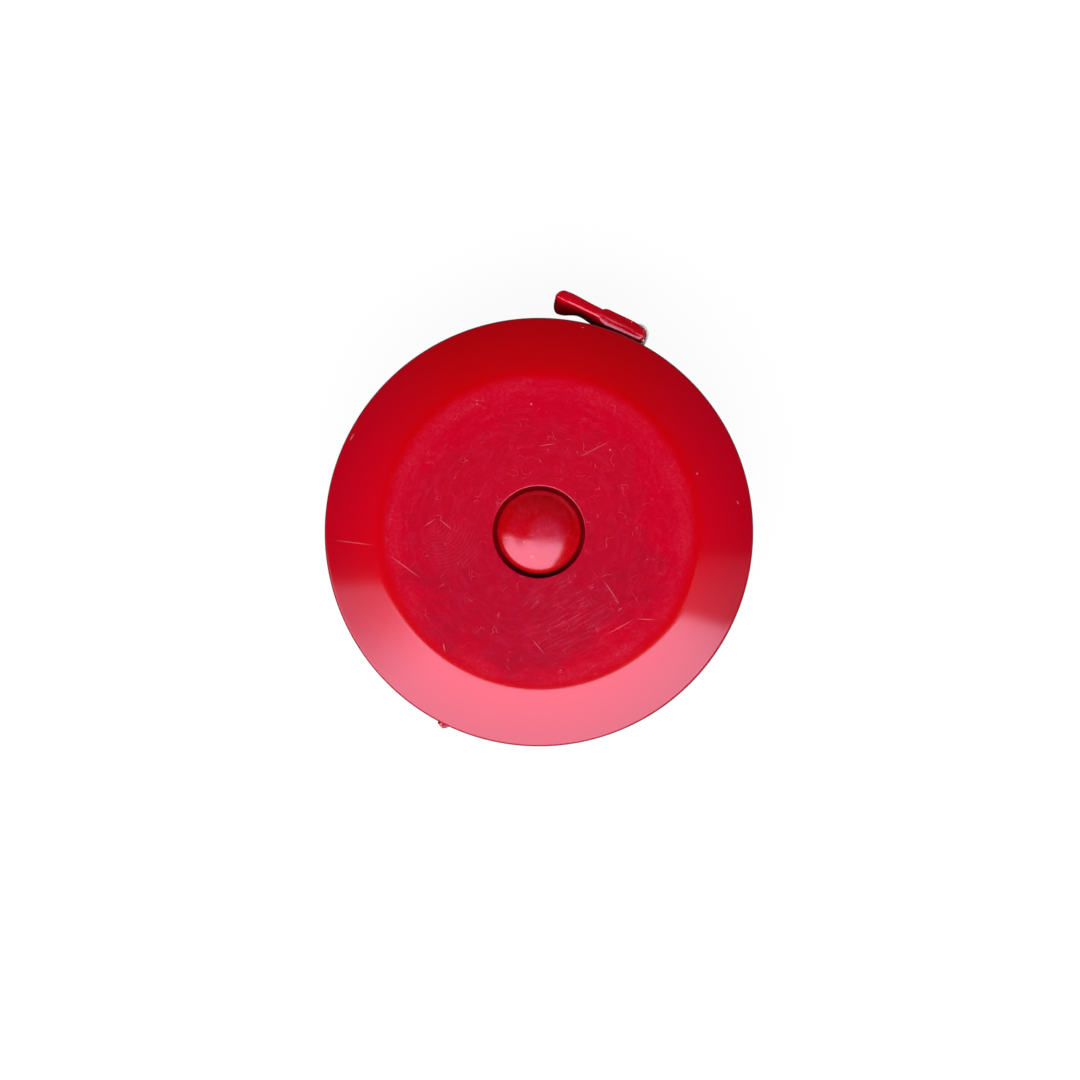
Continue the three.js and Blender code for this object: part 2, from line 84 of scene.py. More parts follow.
def adder(tree):
    """Empties a shader tree, and gives the function that adds a node to it."""
    tree.nodes.clear()

    def add(kind, *inputs, **named):
        """Adds a node, sets it up, and links or fills its inputs, in their own order or by name.
        Its kind may end in how it works, after a dot. As an input, a node stands for its first output
        in use, and a hex colour for its linear value."""
        kind, _, way = kind.partition(".")
        node = tree.nodes.new("ShaderNode" + kind)
        if way:
            setattr(node, ways.get(kind, "operation"), way)
        sockets = [socket for socket in node.inputs if socket.enabled]
        for socket, value in (*zip(sockets, inputs), *[(node.inputs[name], named[name]) for name in named]):
            if isinstance(value, bpy.types.Node):
                value = next(output for output in value.outputs if output.enabled)
            if isinstance(value, bpy.types.NodeSocket):
                tree.links.new(value, socket)
            else:
                socket.default_value = linear(value) if isinstance(value, str) else value
        return node

    return add


world = bpy.data.worlds.new("dim_room")
world.use_nodes = True
scene.world = world
add = adder(world.node_tree)
direction = add("TexCoord")
parts = add("SeparateXYZ", direction.outputs["Generated"])
# The ceiling is dim, with a faint cool glow to the left and right of the table.
overhead = add("MapRange", parts.outputs[2], 0.55, 0.75, 0.0, 0.03)
sideways = add("Math.ABSOLUTE", parts.outputs[0])
sideways = add("MapRange", sideways, 0.3, 0.6, 0.4, 3.0)
ceiling = add("Math.MULTIPLY", overhead, sideways)
ceiling = add("VectorMath.SCALE", (0.45, 0.2, 1.5), ceiling)
# Pale walls, low down, make the background of the side views. They stand far off, so the object hardly
# mirrors them.
walls = add("MapRange.SMOOTHSTEP", parts.outputs[2], 0.34, 0.05, 0.01, 0.95)
sight = add("LightPath")
mirrored = add("MapRange", sight.outputs["Is Glossy Ray"], 0, 1, 1.0, 0.15)
walls = add("Math.MULTIPLY", walls, mirrored)
room = add("VectorMath.ADD", ceiling, walls)
surface = add("Background", room)
add("OutputWorld", surface)

lamp_height = 4.0  # metres; everything else about a lamp is a share of its height


def panel(name, left, right, near, far, radiance, turn=0.0, dim=()):
    """A level area lamp. Its edges are given as distances over its height, so they are directions.
    Each of dim is (x, y, reach, least): the lamp is dimmer round that place, down to a least share."""
    lamp = bpy.data.lights.new(name, "AREA")
    lamp.shape = "RECTANGLE"
    lamp.size = (right - left) * lamp_height
    lamp.size_y = (near - far) * lamp_height
    lamp.energy = radiance * pi * lamp.size * lamp.size_y
    holder = bpy.data.objects.new(name, lamp)
    middle = Vector(((left + right) / 2, (near + far) / 2, 1)) * lamp_height
    middle.rotate(Matrix.Rotation(radians(turn), 3, "Z"))
    holder.location = middle
    holder.rotation_euler = (0, 0, radians(turn))
    holder.visible_camera = False
    scene.collection.objects.link(holder)
    if dim:
        lamp.use_nodes = True
        add = adder(lamp.node_tree)
        spot = add("NewGeometry").outputs["Position"]
        left_over = 1.0
        for x, y, reach, least in dim:
            centre = (x * lamp_height, y * lamp_height, lamp_height)
            off = add("VectorMath.DISTANCE", spot, centre)
            reach *= lamp_height
            share = add("MapRange.SMOOTHSTEP", off, 0.15 * reach, reach, least, 1.0)
            left_over = add("Math.MULTIPLY", left_over, share)
        glow = add("Emission", Strength=left_over)
        add("OutputLight", glow)
    return holder


# The window, curtained at both ends, and a strip of pale wall beside it
curtains = [(-0.75, -0.2, 0.5, 0.3), (-2.3, 0.3, 1.5, 0.0), (1.25, -0.15, 0.75, 0.0)]
panel("window", -2.3, 1.08, near=-0.298, far=-2.6, radiance=3.52, turn=-5.8, dim=curtains)
panel("pale_wall", 0.45, 1.1, near=-0.1, far=-0.34, radiance=0.4, dim=[(0.72, 0.0, 0.32, 0.2)])
# Light from the far wall, too broad and dim to show as a reflection
fill = panel("far_wall", -1.5, 1.5, near=2.0, far=0.5, radiance=0.55)
fill.visible_glossy = False


def blank(name):
    """A new material, and the function that adds nodes to it."""
    material = bpy.data.materials.new(name)
    material.use_nodes = True
    return material, adder(material.node_tree)


# A sheet of white card under the object. It gives off a little light of its own to the camera,
# so that it shows as white and keeps a pale shadow.
table_side = 60  # metres
table_gap = 0.02  # so that the flat back never shows through it
bpy.ops.mesh.primitive_plane_add(size=table_side, location=(0, 0, -table_gap * MM))
table = bpy.context.object
table.name = "table_card"
card, add = blank("white_card_matt")
rays = add("LightPath")
# In reflections it shows only from some way off, so that undersides close above it stay dark.
seen = add("Math.MAXIMUM", rays.outputs["Is Glossy Ray"], rays.outputs["Is Transmission Ray"])
far_off = add("MapRange", rays.outputs["Ray Length"], 0.02, 0.12)
far_seen = add("Math.MULTIPLY", seen, far_off)
near_seen = add("Math.SUBTRACT", seen, far_seen)
shade = add("MapRange", rays.outputs["Is Camera Ray"], 0, 1, 0.55, 0.08)
shade = add("Math.MULTIPLY_ADD", near_seen, -0.5, shade)
paper = add("BsdfDiffuse", shade)
lift = add("Math.MULTIPLY", far_seen, 0.15)
lift = add("Math.MULTIPLY_ADD", rays.outputs["Is Camera Ray"], 0.935, lift)
glow = add("Emission", Strength=lift)
both = add("AddShader", paper, glow)
add("OutputMaterial", both)
table.data.materials.append(card)


# Lower case: the back shell, with the post that carries the reel and the sockets for four pins.
# Injection-moulded ABS in solid crimson, polished in the mould, so it mirrors what is round it.
def polar(radius, angle):
    return Vector((radius * cos(radians(angle)), radius * sin(radians(angle))))


def rounded(corners, step=8, count=0):
    """The closed outline through corners (x, y) or (x, y, fillet), a fillet in steps of some degrees
    or in a count of steps."""
    outline = []
    for i, corner in enumerate(corners):
        here = Vector(corner[:2])
        fillet = corner[2] if len(corner) > 2 else 0
        if fillet == 0:
            outline.append(here)
            continue
        before = (Vector(corners[i - 1][:2]) - here).normalized()
        after = (Vector(corners[(i + 1) % len(corners)][:2]) - here).normalized()
        half = acos(before.dot(after)) / 2
        centre = here + (before + after).normalized() * fillet / sin(half)
        start = here + before * fillet / tan(half) - centre
        end = here + after * fillet / tan(half) - centre
        turn = atan2(start.x * end.y - start.y * end.x, start.dot(end))
        steps = count or max(3, round(abs(degrees(turn)) / step))
        for k in range(steps + 1):
            part = start.copy()
            part.rotate(Matrix.Rotation(turn * k / steps, 2))
            outline.append(centre + part)
    return outline


def mesh_piece(name, bm):
    """A linked object from bmesh data in millimetres, with its faces turned outward."""
    bmesh.ops.recalc_face_normals(bm, faces=bm.faces)
    bmesh.ops.scale(bm, vec=(MM, MM, MM), verts=bm.verts)
    mesh = bpy.data.meshes.new(name)
    bm.to_mesh(mesh)
    bm.free()
    piece = bpy.data.objects.new(name, mesh)
    scene.collection.objects.link(piece)
    return piece


def lathe(name, profile, segments=256):
    """A closed outline of (radius, height) turned about the Z axis."""
    bm = bmesh.new()
    rings = []
    for radius, height in profile:
        if radius < 1e-6:
            rings.append([bm.verts.new((0, 0, height))] * segments)
        else:
            rings.append([
                bm.verts.new((*polar(radius, 360 * k / segments), height)) for k in range(segments)
            ])
    for ring, following in zip(rings, rings[1:] + rings[:1]):
        for k in range(segments):
            quad = [ring[k - 1], ring[k], following[k], following[k - 1]]
            corners = list(dict.fromkeys(quad))
            if len(corners) > 2:
                bm.faces.new(corners)
    return mesh_piece(name, bm)


def prism(name, outline, bottom, top):
    """An outline in the XY plane drawn up from one height to another."""
    bm = bmesh.new()
    low = [bm.verts.new((*point, bottom)) for point in outline]
    high = [bm.verts.new((*point, top)) for point in outline]
    bm.faces.new(low)
    bm.faces.new(high)
    for k in range(len(outline)):
        bm.faces.new((low[k - 1], low[k], high[k], high[k - 1]))
    return mesh_piece(name, bm)


def combine(piece, tools, operation):
    """Joins tools to a piece or cuts them out of it, and takes them away."""
    for tool in tools:
        step = piece.modifiers.new(operation, "BOOLEAN")
        step.operation = operation
        step.object = tool
        step.solver = "MANIFOLD"
    bpy.context.view_layer.update()
    shaped = piece.evaluated_get(bpy.context.evaluated_depsgraph_get())
    piece.data = bpy.data.meshes.new_from_object(shaped)
    piece.modifiers.clear()
    for tool in tools:
        bpy.data.objects.remove(tool)
    return piece


def smooth(piece, angle=32):
    """Shades a piece smooth across edges that turn less than an angle."""
    piece.data.shade_smooth()
    piece.data.set_sharp_from_angle(angle=radians(angle))


def dress(piece, material, slot, body, *nodes):
    """Gives a piece its finish and its body, and hides the CAD nodes that it stands for."""
    piece.data.materials.clear()
    piece.data.materials.append(material)
    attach(piece, body)
    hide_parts(*nodes)


case_radius = 25.5
case_thickness = 15.0
case_wall = 1.6
face_radius = 19.1
face_fillet = 8.0
rim_fillet = 0.4
bevel_angle = radians(17)
bevel_slope = tan(bevel_angle)
bevel_drop = (case_radius - face_radius) * bevel_slope
inner_radius = case_radius - case_wall
inner_face_radius = face_radius - case_wall * tan(bevel_angle / 2)
inner_drop = (inner_radius - inner_face_radius) * bevel_slope
inner_fillet = face_fillet - case_wall
skin = case_wall / 2
parting = case_thickness / 2
parting_chamfer = 0.15
tongue = 0.7
tongue_height = 0.9
post_radius = 3.2
post_base_radius = 5.2
post_base_top = 2.45
post_square = 3.6
post_shoulder = 8.25
post_top = 12.9
post_slit = 0.5
slit_bottom = 3.55
rib_width = 0.8
rib_height = 0.5
rib_end = inner_face_radius - rib_width
rib_angles = range(0, 360, 60)
pin_circle = 21.9
pin_places = [polar(pin_circle, angle) for angle in (20, 110, 200, 290)]
pin_radius = 0.9
pin_column_radius = 1.6
pin_depth = 3.0
pin_root = (pin_circle + pin_column_radius - face_radius) * bevel_slope + case_wall / 4
joint_gap = 0.2
overrun = 1  # how far a cut runs past the surface it opens

# The tape leaves its coil on a tangent, so the slot lies along that line.
heading = 14.675022
tape_line = 18.7285
slot_half = 0.6
slot_flare = 0.4
slot_fillet = 3.0
slot_bottom = 3.35
slot_top = 11.65
slot_inner = sqrt(inner_radius**2 - tape_line**2)
slot_outer = sqrt(case_radius**2 - tape_line**2)
along = Vector((cos(radians(heading)), sin(radians(heading))))
across = Vector((-along.y, along.x))


def cylinder(name, place, radius, bottom, top, sides=32):
    return prism(name, [place + polar(radius, 360 * k / sides) for k in range(sides)], bottom, top)


def bar(name, start, end, width, bottom, top, angle=0.0):
    corners = [(start, -width / 2), (end, -width / 2), (end, width / 2), (start, width / 2)]
    turn = Matrix.Rotation(radians(angle), 2)
    return prism(name, [turn @ Vector(c) for c in corners], bottom, top)


def tape_slot():
    """The slot's lips are narrowest half way through the wall, and round there."""
    mouth = slot_half + slot_flare
    ends = slot_inner - overrun, slot_outer + overrun
    middle = sum(ends) / 2
    lips = rounded([
        (ends[0], tape_line - mouth),
        (middle, tape_line - slot_half, slot_fillet),
        (ends[1], tape_line - mouth),
        (ends[1], tape_line + mouth),
        (middle, tape_line + slot_half, slot_fillet),
        (ends[0], tape_line + mouth),
    ], step=3)
    return prism("slot", [along * x + across * y for x, y in lips], slot_bottom, slot_top)


lower_case = lathe("back_shell", rounded([
    (0, 0),
    (face_radius, 0, face_fillet),
    (case_radius, bevel_drop, rim_fillet),
    (case_radius, parting - parting_chamfer),
    (case_radius - parting_chamfer, parting),
    (inner_radius + tongue, parting),
    (inner_radius + tongue, parting + tongue_height),
    (inner_radius, parting + tongue_height),
    (inner_radius, case_wall + inner_drop),
    (inner_face_radius, case_wall, inner_fillet),
    (post_base_radius, case_wall),
    (post_base_radius, post_base_top),
    (post_radius, post_base_top),
    (post_radius, post_shoulder),
    (0, post_shoulder),
], step=3))
joined = [bar("key", -post_square / 2, post_square / 2, post_square, post_shoulder - skin, post_top)]
rib_span = post_base_radius - rib_width, rib_end
for angle in rib_angles:
    joined.append(bar("rib", *rib_span, rib_width, case_wall - skin, case_wall + rib_height, angle))
bores = []
for place in pin_places:
    joined.append(cylinder("socket", place, pin_column_radius, pin_root, parting))
    bore_bottom = parting - pin_depth - joint_gap
    bores.append(cylinder("bore", place, pin_radius + joint_gap, bore_bottom, parting + overrun))
slit_ends = post_radius - overrun, post_radius + overrun
spring_slit = bar("slit", *slit_ends, post_slit, slit_bottom, post_shoulder + overrun)
combine(lower_case, joined, "UNION")
combine(lower_case, [*bores, spring_slit, tape_slot()], "DIFFERENCE")
smooth(lower_case)


def millimetres(add):
    """The place on a piece in millimetres, so the scale of a noise is its grains per millimetre."""
    place = add("TexCoord").outputs["Object"]
    return add("VectorMath.SCALE", place, 1 / MM)


def nicks(add, place, spots):
    """Small thin ellipses: single scratches and nicked spots, and painted glints, each (x, y, length,
    width, angle). Gives their mask.
    """
    marks = 0.0
    for x, y, length, width, angle in spots:
        turn, size = (0, 0, radians(angle)), (length / 2, width / 2, 1)
        inside = add("Mapping.TEXTURE", place, (x, y, 0), turn, size)
        off = add("VectorMath.LENGTH", inside)
        mark = add("MapRange", off, 1.0, 0.4)
        marks = add("Math.MAXIMUM", marks, mark)
    return marks


def patch(add, place, middle, reach, edge):
    """A round soft-edged mask, 1 inside."""
    off = add("VectorMath.DISTANCE", place, (*middle, 0))
    return add("MapRange.SMOOTHSTEP", off, reach, reach - edge)


def hairlines(add, place, scale, width, cover):
    """Fine curved scuffs: the contour lines of a noise, broken into short pieces by another."""
    grain = add("TexNoise", place, Scale=scale, Detail=1.5, Distortion=0.4)
    off = add("Math.SUBTRACT", grain, 0.5)
    off = add("Math.ABSOLUTE", off)
    line = add("MapRange", off, width, width * 0.3)
    gaps = add("TexNoise", place, Scale=scale * 1.1, Detail=1.0)
    gaps = add("MapRange", gaps, cover, cover + 0.1)
    return add("Math.MULTIPLY", line, gaps)


# ABS mirrors a little pinkly here, because the red under its skin colours what comes back.
gloss = {"IOR": 1.54, "Specular IOR Level": 0.95, "Specular Tint": (1.0, 0.61, 0.86, 1)}


def crimson(name, wear_radius, haze, tones, spots):
    """Solid crimson ABS, moulded glossy: deep red, with a haze where fingers and tables rub it, whose tones
    are partly painted shade and painted sheen, and a painted shade line round the rim.
    The tones are those of the worn face, of the red just outside it, and of the rim."""
    material, add = blank(name)
    mm = millimetres(add)
    flat = add("VectorMath.MULTIPLY", mm, (1, 1, 0))
    apart = add("SeparateXYZ", mm)
    radius = add("VectorMath.LENGTH", flat)
    on_face = patch(add, flat, (0, 0), wear_radius + 0.9, 1.8)

    cloud = add("TexNoise", mm, Scale=0.16, Detail=2.0, Roughness=0.55)
    mottle = add("TexNoise", mm, Scale=0.5, Detail=6.0, Roughness=0.7, Distortion=0.6)
    fine = add("TexNoise", mm, Scale=2.6, Detail=3.0, Roughness=0.7)

    # The haze is a worn disc, and its soft edge wanders by a millimetre or two.
    reach = haze["radius"]
    wander = add("VectorMath.DISTANCE", flat, (*haze["place"], 0))
    for noise, share in ((cloud, 0.75), (mottle, 0.32)):
        wander = add("Math.MULTIPLY_ADD", noise, reach * share, wander)
    wander = add("Math.SUBTRACT", wander, reach * 0.535)
    half_edge = haze["edge"] / 2
    hazed = add("MapRange.SMOOTHSTEP", wander, reach + half_edge, reach - half_edge)
    depth = add("MapRange", mottle, 0.38, 0.58, 1.0, 0.66)
    for mask in (on_face, depth):
        hazed = add("Math.MULTIPLY", hazed, mask)
    # Painted shade: the haze's tone darkens towards its lower, -Y side where its two tones differ.
    lower = add("MapRange.SMOOTHSTEP", apart.outputs[1], reach * 0.4, reach * -0.5)
    haze_tone_and_painted_light = add("Mix.RGBA", lower, haze["upper"], haze["lower"])

    # Fine scuffs over the whole face, and thickest where it turns down and rubs on what it lies against
    off_ring = add("Math.SUBTRACT", radius, wear_radius - 0.9)
    off_ring = add("Math.ABSOLUTE", off_ring)
    ring = add("MapRange.SMOOTHSTEP", off_ring, 1.5, 0.2)
    thick = add("MapRange", cloud, 0.4, 0.6, 0.25, 1.0)
    ring = add("Math.MULTIPLY", ring, thick)
    speckle = add("MapRange", fine, 0.42, 0.7)
    short = hairlines(add, mm, 2.4, 0.06, 0.46)
    long = hairlines(add, mm, 0.6, 0.012, 0.5)
    specks = add("Math.ADD", speckle, short)
    specks = add("Math.MULTIPLY", ring, specks)
    short = add("Math.MULTIPLY", short, 0.2)

    # Soft strokes that run round the button, from turning on a table
    bearing = add("Math.ARCTAN2", apart.outputs[1], apart.outputs[0])
    bearing = add("Math.MULTIPLY", bearing, 4.0)
    around = add("CombineXYZ", bearing, radius)
    turned = add("TexNoise", around, Scale=1.3, Detail=5.0, Roughness=0.75, Distortion=0.8)
    dark_strokes = add("MapRange", turned, 0.47, 0.3)
    dark_strokes = add("Math.MULTIPLY", dark_strokes, hazed)
    strokes = add("MapRange", turned, 0.5, 0.72)
    strokes = add("Math.MULTIPLY", strokes, on_face)

    # Swept scuffs at the lower right, and a fan of arcs from one round rub at the left
    slant = add("Mapping.TEXTURE", mm, Rotation=(0, 0, radians(28)), Scale=(2.9, 0.28, 1))
    sweep = add("TexNoise", slant, Scale=1.0, Detail=3.0, Roughness=0.7, Distortion=0.5)
    sweep = add("MapRange", sweep, 0.5, 0.66)
    swept = patch(add, flat, (3.5, -9.8), 8.0, 5.0)
    sweep = add("Math.MULTIPLY", sweep, swept)
    rub = (-12.1, 0.9)
    rub_spacing = 0.42
    from_rub = add("VectorMath.DISTANCE", flat, (*rub, 0))
    arcs = add("Math.MULTIPLY", mottle, 13.0)
    arcs = add("Math.MULTIPLY_ADD", from_rub, 2 * pi / rub_spacing, arcs)
    arcs = add("Math.SINE", arcs)
    arcs = add("MapRange", arcs, 0.0, 0.95)
    below_rub = patch(add, flat, (rub[0] + 1.8, rub[1] - 2.6), 4.4, 2.4)
    for mask in (below_rub, fine):
        arcs = add("Math.MULTIPLY", arcs, mask)
    rubbed = short
    for mask in (long, sweep, arcs):
        rubbed = add("Math.MAXIMUM", rubbed, mask)
    rubbed = add("Math.MULTIPLY", rubbed, on_face)

    # Painted shade: a dark line on the sharp turn from the bevel to the rim.
    outer = add("MapRange", radius, case_radius - 0.24, case_radius - 0.1)
    line_foot, line_top = case_thickness - 2.6, case_thickness - 2.35
    upper = add("MapRange", apart.outputs[2], line_foot, line_top)
    painted_rim_shade = add("Math.MULTIPLY", upper, outer)

    # The red darkens from the face out to the rim.
    face_tone, near_tone, rim_tone = tones
    outward = add("MapRange", radius, wear_radius + 1.0, wear_radius + 7.0)
    off_face = add("Mix.RGBA", outward, near_tone, rim_tone)
    colour = add("Mix.RGBA", on_face, off_face, face_tone)
    for mask, share, tone in (
        (hazed, 1.0, haze_tone_and_painted_light),
        (strokes, 0.24, "#d8305a"),
        (dark_strokes, 0.42, "#a4001c"),
        (ring, 0.05, "#e81442"),
        (rubbed, 0.22, "#d84460"),
        (specks, 0.08, "#ec5c78"),
        (nicks(add, flat, spots), 0.4, "#f0909c"),
        # The rim's dark line is painted shade.
        (painted_rim_shade, 0.85, "#8c0020"),
    ):
        tint = add("Math.MULTIPLY", mask, share)
        colour = add("Mix.RGBA", tint, colour, tone)

    rough = add("MapRange", on_face, 0, 1, 0.09, 0.13)
    for mask, share in ((hazed, haze["rough"]), (rubbed, 0.1), (ring, 0.05), (fine, 0.04)):
        rough = add("Math.MULTIPLY_ADD", mask, share, rough)
    # Bumps of a hundredth of a millimetre: the mould's faint waviness, and the scuffs
    waves = add("MapRange", on_face, 0, 1, 0.15, 0.5)
    height = add("Math.MULTIPLY", mottle, waves)
    height = add("Math.MULTIPLY_ADD", rubbed, -0.15, height)
    bump = add("Bump", Height=height, Strength=0.25, Distance=0.02 * MM)
    shader = add("BsdfPrincipled", colour, Roughness=rough, Normal=bump, **gloss)
    add("OutputMaterial", shader)
    return material


# The haze's lower tone, darker than its upper one, is painted shade.
case_haze_and_painted_shade = {
    "place": (-0.8, -1.1), "radius": 14.6, "edge": 3.6,
    "rough": 0.04, "upper": "#c40526", "lower": "#b60628",
}
case_red = crimson("moulded_abs_crimson", 18.2, case_haze_and_painted_shade, ("#ce0024", "#d20006", "#b80006"), [
    (-15.8, -4.1, 4.9, 0.12, -36),
    (-21.95, -1.25, 5.1, 0.1, -7),
    (-12.9, 1.1, 1.8, 0.1, 33),
    (-11.0, 0.9, 2.2, 0.1, -39),
    (8.5, -7.0, 3.5, 0.12, -56),
    (9.2, -8.2, 1.0, 0.1, -40),
    (9.6, -9.1, 0.8, 0.1, 39),
    (9.6, -11.2, 3.9, 0.1, 29),
    (12.6, -10.3, 2.5, 0.1, -3),
    (6.6, 9.8, 4.6, 0.08, 27),
    (0.95, 10.3, 2.4, 0.08, 8),
    (-0.1, -13.5, 2.6, 0.1, -50),
    (-11.2, -13.6, 0.2, 1.1, 10),
    (5.2, 24.3, 0.5, 0.1, -8),
    (8.4, 9.7, 0.3, 0.3, 0),
    (18.7, 6.9, 0.3, 0.3, 0),
    (-0.9, 15.1, 0.34, 0.34, 0),
    (-7.3, 15.1, 0.26, 0.26, 0),
    (-22.2, 11.3, 1.2, 0.2, 60),
    (23.6, 3.5, 0.6, 0.2, -60),
])
dress(lower_case, case_red, "case_red", "case", "lower_case")


# Reel: a drum with its lower flange on the post, and a cover that is its upper flange.
# Moulded in white acetal, which is waxy and dull, with faint flow marks round the gate.
def acetal():
    material, add = blank("moulded_acetal_white")
    mm = millimetres(add)
    flow = add("TexNoise", mm, Scale=0.3, Detail=3.0)
    colour = add("Mix.RGBA", flow, "#e2dfd6", "#f0eee8")
    grain = add("TexNoise", mm, Scale=9.0, Detail=2.0)
    rough = add("MapRange", grain, 0, 1, 0.38, 0.52)
    bump = add("Bump", Height=grain, Strength=0.2, Distance=0.01 * MM)
    shader = add("BsdfPrincipled", colour, Roughness=rough, Normal=bump, IOR=1.48)
    add("OutputMaterial", shader)
    return material


def coat(name, material):
    """Gives a part of the frame its finish. Its shape is already the real one."""
    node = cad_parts[name]
    node.data.materials.clear()
    node.data.materials.append(material)


white_acetal = acetal()
for name in ("reel_drum", "reel_cover", "brake_cone"):
    coat(name, white_acetal)


# Mainspring: a strip of blued spring steel in the drum, which winds the tape in.
# Most of its turns lie against the drum's wall, and an eye on its inner end holds the post.
def skinned(name, rings):
    """A closed piece through rings of points, each joined to the next, with a cap at both ends."""
    bm = bmesh.new()
    rings = [[bm.verts.new(point) for point in ring] for ring in rings]
    for ring, following in zip(rings, rings[1:]):
        for k in range(len(ring)):
            bm.faces.new((ring[k - 1], ring[k], following[k], following[k - 1]))
    bm.faces.new(rings[0])
    bm.faces.new(rings[-1])
    return mesh_piece(name, bm)


def ribbon(name, path, section):
    """A strip along a path in the XY plane. Its section is an outline of (across, height)."""
    rings = []
    for i, point in enumerate(path):
        before, after = path[max(i - 1, 0)], path[min(i + 1, len(path) - 1)]
        way = (after - before).normalized()
        left = Vector((-way.y, way.x))
        rings.append([(*(point + left * s), z) for s, z in section])
    return skinned(name, rings)


def oblong(thickness, bottom, top, edge):
    half = thickness / 2
    corners = (-half, bottom), (half, bottom), (half, top), (-half, top)
    return rounded([(*corner, edge) for corner in corners], step=30)


def steel(name):
    """Cold-rolled steel: fine drawing lines, a little oil, and a bluish temper colour."""
    material, add = blank(name)
    mm = millimetres(add)
    lines = add("Mapping", mm, Scale=(0.6, 0.6, 14))
    lines = add("TexNoise", lines, Scale=1.0, Detail=3.0)
    temper = add("TexNoise", mm, Scale=0.25)
    colour = add("Mix.RGBA", temper, "#8d949c", "#a9adb0")
    rough = add("MapRange", lines, 0, 1, 0.2, 0.42)
    bump = add("Bump", Height=lines, Strength=0.15, Distance=0.01 * MM)
    shader = add("BsdfPrincipled", colour, Roughness=rough, Normal=bump, Metallic=1.0)
    add("OutputMaterial", shader)
    return material


strip_thickness = 0.13
strip_edge = 0.03
strip_bottom = 3.85
strip_top = 7.85
eye_radius = 3.5
loose_turns = 3
packed_turns = 20
packed_from = 8.6
drum_inner = 12.9
strip_gap = 0.2
hook_depth = 0.6
steps_per_turn = 40
strip_turns = (0, 1, 1 + loose_turns, 1 + loose_turns + packed_turns)
strip_radii = (eye_radius, eye_radius + strip_gap, packed_from, drum_inner - strip_gap)
spring_path = []
for k in range(steps_per_turn * strip_turns[-1] + 1):
    turn = k / steps_per_turn
    spring_path.append(polar(np.interp(turn, strip_turns, strip_radii), 360 * turn))
spring_path.append(polar(drum_inner + hook_depth, 0))
strip = oblong(strip_thickness, strip_bottom, strip_top, strip_edge)
mainspring = ribbon("mainspring_strip", spring_path, strip)
smooth(mainspring, 50)
spring_steel = steel("cold_rolled_spring_steel")
dress(mainspring, spring_steel, "spring_steel", "reel", "mainspring")

# Spring cover: a washer punched from thin polypropylene sheet, lying on a ledge over the mainspring.
# It is milky, slightly see-through and a little glossy.
film, add = blank("punched_polypropylene_sheet")
mm = millimetres(add)
roll = add("Mapping", mm, Scale=(0.15, 5, 1))
roll = add("TexNoise", roll, Scale=1.0, Detail=2.0)
colour = add("Mix.RGBA", roll, "#cfd0cd", "#e0e0dc")
rough = add("MapRange", roll, 0, 1, 0.28, 0.4)
shader = add("BsdfPrincipled", colour, Roughness=rough, IOR=1.49)
add("OutputMaterial", shader)
coat("spring_cover", film)


# Wound tape: 1.5 m of tape in fourteen turns on the drum.
# White vinyl on woven glass fibre, so its faces have a fine weave under a soft gloss.
def vinyl_tape():
    material, add = blank("vinyl_coated_glass_fibre_tape")
    mm = millimetres(add)
    lengthwise = add("Mapping", mm, Rotation=(0, 0, -radians(heading)))
    parts = add("SeparateXYZ", lengthwise)
    # Threads lie along and across the tape.
    thread_spacing = 0.45
    threads = []
    for axis in (0, 2):
        wave = add("Math.MULTIPLY", parts.outputs[axis], 2 * pi / thread_spacing)
        threads.append(add("Math.SINE", wave))
    weave = add("Math.MULTIPLY", threads[0], threads[1])
    dirt = add("TexNoise", mm, Scale=0.18, Detail=4.0, Roughness=0.6)
    colour = add("Mix.RGBA", dirt, "#f6f4ee", "#fbfaf7")
    rough = add("MapRange", dirt, 0, 1, 0.34, 0.48)
    bump = add("Bump", Height=weave, Strength=0.3, Distance=0.02 * MM)
    shader = add("BsdfPrincipled", colour, Roughness=rough, Normal=bump, IOR=1.53)
    add("OutputMaterial", shader)
    return material


tape_thickness = 0.3
tape_width = 7.5
tape_length = 1500.0
drum_radius = 14.6
coil_radius = sqrt(drum_radius**2 + tape_length * tape_thickness / pi)
tape_turns = (coil_radius - drum_radius) / tape_thickness
layer = 0.27  # a little less than the tape's thickness, so that its turns never touch
inner_gap = 0.2
tape_low = parting - tape_width / 2
tape_high = parting + tape_width / 2
coil_steps = round(72 * tape_turns)
coil_path = []
for k in range(coil_steps + 1):
    radius = tape_line - (tape_line - drum_radius - inner_gap) * k / coil_steps
    coil_path.append(polar(radius, heading + 90 + 360 * tape_turns * k / coil_steps))
coil_edge = 0.06
wound_tape = ribbon("tape_coil", coil_path, oblong(layer, tape_low, tape_high, coil_edge))
smooth(wound_tape, 50)
white_tape = vinyl_tape()
dress(wound_tape, white_tape, "tape", "reel", "wound_tape")

